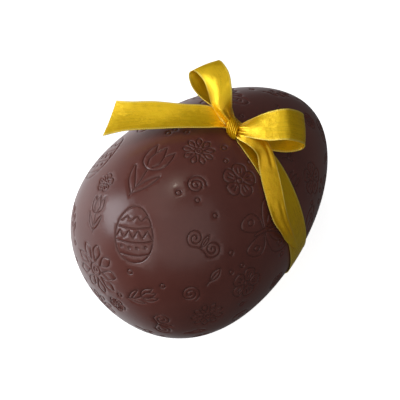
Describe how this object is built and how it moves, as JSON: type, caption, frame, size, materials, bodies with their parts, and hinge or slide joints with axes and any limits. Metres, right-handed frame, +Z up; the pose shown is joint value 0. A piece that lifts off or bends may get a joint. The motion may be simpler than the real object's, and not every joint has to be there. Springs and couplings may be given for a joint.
{
  "type": "chocolate easter egg",
  "caption": "Large dark brown chocolate egg lying on its side, tied round with a golden yellow satin ribbon and a bow on top.",
  "frame": {"origin": "the middle of the small flat on the underside that the egg rests on", "axes": "+Z up, +Y towards the small end of the egg, whose long axis dips 7 degrees below +Y, +X across the egg"},
  "size_m": [0.112, 0.1585, 0.1262],
  "materials": {
    "chocolate": "tempered dark chocolate, semi-gloss, with fine engraved line ornament",
    "satin": "golden yellow satin ribbon with narrow light selvedges"
  },
  "bodies": {
    "root": {"egg": "chocolate", "ribbon": "satin"}
  },
  "joints": []
}
